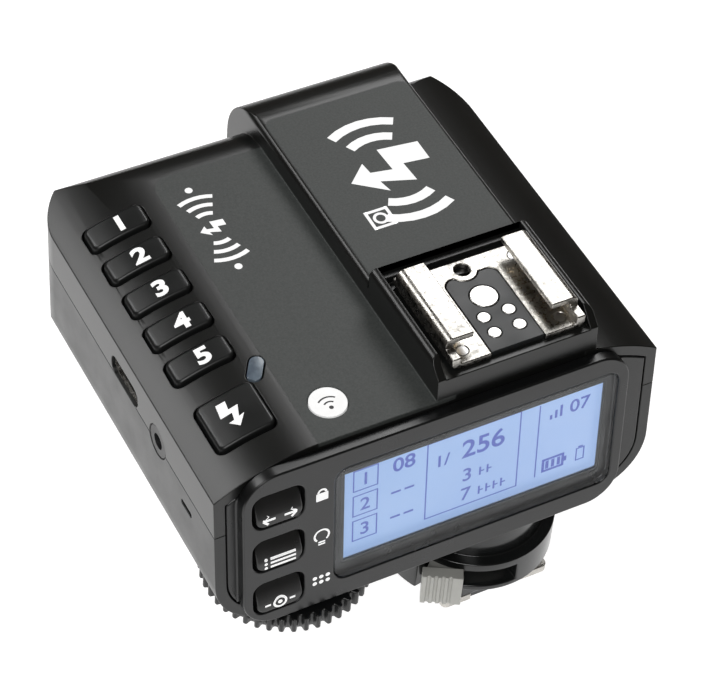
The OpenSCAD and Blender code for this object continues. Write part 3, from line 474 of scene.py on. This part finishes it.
arrows = bmesh.new()
for side in (-1, 1):
    bar(arrows, (side * 0.7 * MM, 0), (side * 2.5 * MM, 0), 0.42 * MM)
    for lean in (-1, 1):
        bar(arrows, (side * 2.6 * MM, 0), (side * 1.8 * MM, lean * 0.8 * MM), 0.4 * MM)
lay_on("mode_sign", arrows, key_face("mode"), key_caps["mode"], white_ink_painted_glow, "mode_key")
lines = bmesh.new()
for row in (-0.8 * MM, 0, 0.8 * MM):
    dot(lines, (-2.2 * MM, row), 0.26 * MM)
    bar(lines, (-1.5 * MM, row), (2.5 * MM, row), 0.4 * MM)
lay_on("menu_sign", lines, key_face("menu"), key_caps["menu"], white_ink_painted_glow, "menu_key")
ring = bmesh.new()
arc(ring, (0, 0), 0.95 * MM, 0.36 * MM)
dot(ring, (0, 0), 0.36 * MM)
for side in (-1, 1):
    bar(ring, (side * 1.5 * MM, 0), (side * 2.4 * MM, 0), 0.38 * MM)
lay_on("set_sign", ring, key_face("set"), key_caps["set"], white_ink_painted_glow, "set_key")

padlock = bmesh.new()
bar(padlock, (-0.95 * MM, -0.55 * MM), (0.95 * MM, -0.55 * MM), 1.5 * MM)
arc(padlock, (0, 0.25 * MM), 0.62 * MM, 0.34 * MM, 0, 180)
bulb = bmesh.new()
arc(bulb, (0, 0.35 * MM), 1.15 * MM, 0.32 * MM, -50, 230)
for row in (-0.95 * MM, -1.4 * MM):
    bar(bulb, (-0.55 * MM, row), (0.55 * MM, row), 0.3 * MM)
cluster = bmesh.new()
for column in (-1.05 * MM, 0, 1.05 * MM):
    for row in (-0.55 * MM, 0.55 * MM):
        dot(cluster, (column, row), 0.36 * MM)

for name, drawing, word in (("lock_sign", padlock, "mode"), ("lamp_sign", bulb, "menu"),
                            ("cluster_sign", cluster, "set")):
    lay_on(name, drawing, key_face(word, 6.75 * MM, 0), panel, white_ink_painted_glow, "casing")

# ---------- deck buttons ----------
# Five group buttons and the test button, in satin charcoal plastic with rounded rims. Each carries
# a white figure, and the test button carries a bolt.

button_plastic = moulded_plastic("button_plastic", (0.0125, 0.0135, 0.0135), 0.33, 0.3 * MM, 0.003 * MM)
for number, letter in enumerate("abcde"):
    node = f"group_button_{letter}"
    cap = make_piece(f"group_cap_{letter}", rounded_copy(node, 0.55 * MM, steps=4), button_plastic,
                     f"group_key_{letter}", [node])
    low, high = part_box(node)
    face = Matrix.Translation(((low.x + high.x) / 2 + 0.45 * MM, (low.y + high.y) / 2, high.z))
    drawing = bmesh.new()
    figures(drawing, str(number + 1), (0, 0), 2.9 * MM, 0.16 * MM, 1.15)
    lay_on(f"group_sign_{letter}", drawing, face, cap, white_ink_painted_glow, f"group_key_{letter}")

test_cap = make_piece("test_cap", rounded_copy("test_button", 0.5 * MM, steps=4), button_plastic,
                      "test_key", ["test_button"])


def bolt(mesh, size):
    """Lightning bolt with an arrow's head, pointing down, about size tall."""
    outline = ((-0.28, 0.50), (0.02, 0.50), (-0.02, 0.18), (0.28, 0.20), (0.14, -0.20), (0.32, -0.16),
               (0.04, -0.52), (-0.20, -0.26), (-0.03, -0.24), (0.02, 0.02), (-0.34, 0.00))
    mesh.faces.new([mesh.verts.new((x * size, y * size, 0)) for x, y in outline])


low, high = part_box("test_button")
drawing = bmesh.new()
bolt(drawing, 4.9 * MM)
face = Matrix.Translation(((low.x + high.x) / 2 - 0.45 * MM, (low.y + high.y) / 2 + 0.3 * MM, high.z))
lay_on("bolt_sign", drawing, face, test_cap, white_ink_painted_glow, "test_key")

# ---------- status light and badge ----------
# A smoky light guide beside the test button, and a white printed disc with a radio sign.

smoky = two_tones("smoky_guide", (0.10, 0.13, 0.17), (0.20, 0.25, 0.30), 0.15, 1.5 * MM)
make_piece("status_light", rounded_copy("status_light_pipe", 0.12 * MM), smoky, "casing",
           ["status_light_pipe"])

# The badge's white is its own colour plus painted light: an emission of 0.35 brightens it though it is no
# lamp.
badge_white_painted_glow = two_tones("badge_white_painted_glow", (0.80, 0.80, 0.79), (0.88, 0.88, 0.88), 0.4, 1.2 * MM, glow=0.35)
badge = make_piece("badge", rounded_copy("wireless_badge", 0.06 * MM), badge_white_painted_glow, "casing",
                   ["wireless_badge"])
dark_ink, tree, shader, link = shader_parts("dark_ink")
shader.inputs["Base Color"].default_value = (0.03, 0.03, 0.03, 1)
shader.inputs["Roughness"].default_value = 0.5
waves = bmesh.new()
dot(waves, (0, -1.1 * MM), 0.34 * MM)
for radius in (1.1 * MM, 2.0 * MM):
    arc(waves, (0, -1.1 * MM), radius, 0.26 * MM, 48, 132)
face = Matrix.Translation(((badge_low.x + badge_high.x) / 2, (badge_low.y + badge_high.y) / 2, badge_high.z))
lay_on("badge_sign", waves, face, badge, dark_ink, "casing", 0.015 * MM)

# ---------- prints on the deck and the hump ----------
# Generic signs, screen-printed in white: a bolt between radio waves on the deck, and a larger one on
# the hump with a ringed square. They are read with the trigger's left side down.

DECK_SIGN_PLACE = (-27.7 * MM, 37.1 * MM, deck_height)
HUMP_SIGN_PLACE = (0.4 * MM, 34.4 * MM, hump_height)
SQUARE_PLACE = (8.8 * MM, -6.2 * MM)
read_sideways = Matrix.Rotation(math.radians(-90), 4, "Z")
deck_sign = bmesh.new()
bolt(deck_sign, 4.2 * MM)
for radius in (3.2 * MM, 5.0 * MM, 6.8 * MM):
    for heading in (0, 180):
        arc(deck_sign, (0, 0), radius, 0.75 * MM, heading - 24, heading + 24)
for x in (-8.7 * MM, 8.7 * MM):
    dot(deck_sign, (x, 0), 0.6 * MM)
lay_on("deck_sign", deck_sign, Matrix.Translation(DECK_SIGN_PLACE) @ read_sideways, top_shell,
       white_ink_painted_glow, "casing")

hump_sign = bmesh.new()
bolt(hump_sign, 13.2 * MM)
for radius in (7.2 * MM, 10.6 * MM):
    for heading in (0, 180):
        arc(hump_sign, (0, 0), radius, 1.6 * MM, heading - 30, heading + 30)
frame_line(hump_sign, SQUARE_PLACE, 3.4 * MM, 3.4 * MM, 0.5 * MM)
arc(hump_sign, SQUARE_PLACE, 0.95 * MM, 0.45 * MM)
lay_on("hump_sign", hump_sign, Matrix.Translation(HUMP_SIGN_PLACE) @ read_sideways, top_shell,
       white_ink_painted_glow, "casing")

# ---------- top shoe ----------
# Nickel-plated bent rails that are rubbed by flashes' feet, turned contacts in a black insulator,
# spring strips and countersunk screws.

nickel, tree, shader, link = shader_parts("nickel")
shader.inputs["Metallic"].default_value = 1
link(blend(tree, spread(tree, object_noise(tree, 3.5 * MM, 4, 0.6), 0, 1), (0.30, 0.29, 0.27),
           (0.62, 0.60, 0.56)), shader.inputs["Base Color"])
link(spread(tree, object_noise(tree, 0.7 * MM, 6, 0.75), 0.18, 0.46, 0.38, 0.62),
     shader.inputs["Roughness"])
grain_bump(tree, object_noise(tree, 0.45 * MM, 5, 0.7), 0.5, 0.02 * MM)
make_piece("shoe", rounded_copy("shoe_rails", 0.2 * MM), nickel, "casing", ["shoe_rails"])

insulator_black = moulded_plastic("insulator_black", (0.020, 0.022, 0.023), 0.42, 0.25 * MM, 0.003 * MM)
make_piece("insulator", rounded_copy("shoe_insulator", 0.08 * MM), insulator_black, "casing",
           ["shoe_insulator"])

turned, tree, shader, link = shader_parts("turned_nickel")
shader.inputs["Base Color"].default_value = (0.60, 0.59, 0.57, 1)
shader.inputs["Metallic"].default_value = 1
link(spread(tree, object_noise(tree, 0.3 * MM, 4), 0.20, 0.30), shader.inputs["Roughness"])
shader.inputs["Anisotropic"].default_value = 0.9
from_centre = tree.nodes.new("ShaderNodeAttribute")
from_centre.attribute_name = "from centre"
around = tree.nodes.new("ShaderNodeVectorMath")
around.operation = "CROSS_PRODUCT"
around.inputs[0].default_value = (0, 0, 1)
link(from_centre.outputs["Vector"], around.inputs[1])
link(around.outputs[0], shader.inputs["Tangent"])
contacts_mesh = rounded_copy("shoe_contacts", 0.18 * MM)
centre_layer = contacts_mesh.verts.layers.float_vector.new("from centre")
MAIN_CONTACT = Vector((0, 4.6, 0)) * MM
SMALL_CONTACTS = [Vector((x, y, 0)) * MM for x in (-2.05, 2.05) for y in (0.9, -2.3)]
SMALL_REACH = 1.2 * MM
for vert in contacts_mesh.verts:
    spot = vert.co.xy.to_3d()
    nearest = min(SMALL_CONTACTS, key=lambda c: (spot - c).length)
    if (spot - nearest).length > SMALL_REACH:
        nearest = MAIN_CONTACT
    vert[centre_layer] = spot - nearest
make_piece("contacts", contacts_mesh, turned, "casing", ["shoe_contacts"])


def dress(node, material):
    """Gives a carried-over CAD node its material."""
    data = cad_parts[node].data
    data.materials.clear()
    data.materials.append(material)


def metal(name, colour, rough, streak=0.8 * MM):
    """Bare metal with faint stains and an uneven polish."""
    material, tree, shader, link = shader_parts(name)
    shader.inputs["Metallic"].default_value = 1
    stains = spread(tree, object_noise(tree, 4 * streak, 3), 0, 1)
    link(blend(tree, stains, tuple(c * 0.85 for c in colour), colour), shader.inputs["Base Color"])
    link(spread(tree, object_noise(tree, streak, 5, 0.7), rough - 0.08, rough + 0.1),
         shader.inputs["Roughness"])
    return material


bronze = metal("spring_bronze", (0.66, 0.56, 0.42), 0.28)
steel = metal("plain_steel", (0.60, 0.60, 0.60), 0.30)
dress("shoe_springs", bronze)
dress("shoe_screws", steel)

# ---------- foot ----------
# A glossy black collar and lock stop, a nickel-plated plate with its black insert, gold-plated pins,
# and the light grey lever that turns the lock.

collar_black = moulded_plastic("collar_black", (0.012, 0.013, 0.013), 0.16, 0.4 * MM, 0.001 * MM)
make_piece("collar", rounded_copy("foot_collar", 0.25 * MM), collar_black, "casing",
           ["foot_collar"])
make_piece("plate", rounded_copy("foot_plate", 0.2 * MM), nickel, "casing", ["foot_plate"])
dress("foot_insulator", insulator_black)
gold = metal("plated_gold", (0.86, 0.64, 0.28), 0.2)
for pin in ("main", "a", "b", "c", "d"):
    dress(f"contact_pin_{pin}", gold)
dress("lock_pin", steel)
dress("foot_screws", steel)
lever_grey = moulded_plastic("lever_grey", (0.47, 0.47, 0.44), 0.34, 0.3 * MM, 0.003 * MM)
make_piece("lever_tab", rounded_copy("lock_lever", 0.12 * MM), lever_grey, "lever", ["lock_lever"])

# ---------- select dial ----------
# A toothed black wheel under the casing, on a steel shaft that comes from its encoder.

wheel_black = moulded_plastic("wheel_black", (0.007, 0.0075, 0.008), 0.32, 0.3 * MM, 0.002 * MM)
make_piece("wheel", rounded_copy("select_dial", 0.25 * MM), wheel_black, "dial", ["select_dial"])
dress("dial_shaft", steel)
part_black = moulded_plastic("part_black", (0.015, 0.015, 0.016), 0.4)
dress("dial_encoder", part_black)

# ---------- sockets, slide switches and focus lamp ----------
# The charging and sync sockets on the left, two slide switches on the right, a red lamp at the front.

tin = metal("tin_plate", (0.70, 0.68, 0.64), 0.24)
dress("usb_shell", tin)
dress("usb_tongue", part_black)
dress("sync_jack", part_black)
dress("power_switch", lever_grey)
dress("assist_switch", lever_grey)
ruby = two_tones("ruby_lens", (0.16, 0.004, 0.004), (0.26, 0.010, 0.008), 0.08, 2 * MM)
make_piece("focus_lens", rounded_copy("assist_lens", 0.2 * MM), ruby, "casing",
           ["assist_lens"])
dress("assist_led", ruby)

# ---------- boards, batteries and fasteners inside ----------
# What the shells hide: green boards with their switches and shielded radio, the battery bay and screws.

board_green = two_tones("board_green", (0.010, 0.060, 0.026), (0.022, 0.105, 0.045), 0.35, 1.4 * MM, 5, 0.7)
for board in ("display_board", "deck_board", "main_board"):
    dress(board, board_green)
switch_grey = moulded_plastic("switch_grey", (0.35, 0.35, 0.35), 0.35)
for switches in ("rear_switches", "deck_switches"):
    dress(switches, switch_grey)
for can in ("radio_module", "lcd_frame", "battery_plates", "housing_screws"):
    dress(can, tin)
dress("battery_springs", steel)
for case in ("buzzer", "battery_tray"):
    dress(case, part_black)
dress("lcd_backlight", moulded_plastic("guide_white", (0.75, 0.76, 0.78), 0.3))
dress("battery_cells", moulded_plastic("cell_sleeve", (0.06, 0.065, 0.07), 0.25))

# ---------- studio ----------
# Not part of the trigger: the camera, a pale table and soft light from high up.

FOCAL_LENGTH = 141.56
NEAREST_SEEN = 0.01
CAMERA_PLACE = (-0.157513, -0.225869, 0.341418)
TABLE_RADIUS = 0.30
TABLE_DROP = 0.030
camera_right = Vector((0.88846, -0.45551, 0.05604))
camera_up = Vector((0.30208, 0.67234, 0.67580))
lens = bpy.data.cameras.new("camera")
lens.lens = FOCAL_LENGTH
lens.clip_start = NEAREST_SEEN
camera = bpy.data.objects.new("camera", lens)
turn = Matrix((camera_right, camera_up, camera_right.cross(camera_up))).transposed().to_4x4()
camera.matrix_world = Matrix.Translation(CAMERA_PLACE) @ turn
bpy.context.scene.collection.objects.link(camera)
bpy.context.scene.camera = camera
bpy.context.scene.view_settings.view_transform = "Standard"

middle = (cad_box[0] + cad_box[1]) / 2
table_mesh = bmesh.new()
table_place = (middle.x, middle.y, cad_box[0].z - TABLE_DROP)
bmesh.ops.create_circle(table_mesh, cap_ends=True, radius=TABLE_RADIUS, segments=96,
                        matrix=Matrix.Translation(table_place))
table_data = bpy.data.meshes.new("table")
table_mesh.to_mesh(table_data)
table_mesh.free()
table = bpy.data.objects.new("table", table_data)
bpy.context.scene.collection.objects.link(table)
table_white, tree, shader, link = shader_parts("table_white")
shader.inputs["Base Color"].default_value = (0.85, 0.85, 0.85, 1)
shader.inputs["Roughness"].default_value = 0.9
shader.inputs["Emission Color"].default_value = (1, 1, 1, 1)
shader.inputs["Emission Strength"].default_value = 0.72
table_data.materials.append(table_white)


def soft_box(name, direction, distance, size, power):
    """A rectangular area light that looks at the middle of the trigger."""
    lamp = bpy.data.lights.new(name, "AREA")
    lamp.shape = "RECTANGLE"
    lamp.size, lamp.size_y = size
    lamp.energy = power
    holder = bpy.data.objects.new(name, lamp)
    holder.location = middle + Vector(direction).normalized() * distance
    holder.rotation_mode = "QUATERNION"
    holder.rotation_quaternion = Vector(direction).to_track_quat("Z", "Y")
    bpy.context.scene.collection.objects.link(holder)


soft_box("overhead", (0.46, 0.54, 0.74), 0.8, (0.34, 0.34), 2.0)
soft_box("left", (-0.50, 0.56, 0.66), 0.8, (0.24, 0.34), 1.5)
soft_box("behind camera", (-0.45, -0.60, 0.80), 0.9, (0.4, 0.4), 3.2)

world = bpy.data.worlds.new("studio")
bpy.context.scene.world = world
world.use_nodes = True
tree = world.node_tree
backdrop = tree.nodes["Background"]
backdrop.inputs["Color"].default_value = (1, 1, 1, 1)
path = tree.nodes.new("ShaderNodeLightPath")
room = tree.nodes.new("ShaderNodeBackground")
room.inputs["Color"].default_value = (0.040, 0.034, 0.028, 1)
choose = tree.nodes.new("ShaderNodeMixShader")
tree.links.new(path.outputs["Is Camera Ray"], choose.inputs[0])
tree.links.new(room.outputs[0], choose.inputs[1])
tree.links.new(backdrop.outputs[0], choose.inputs[2])
tree.links.new(choose.outputs[0], tree.nodes["World Output"].inputs["Surface"])
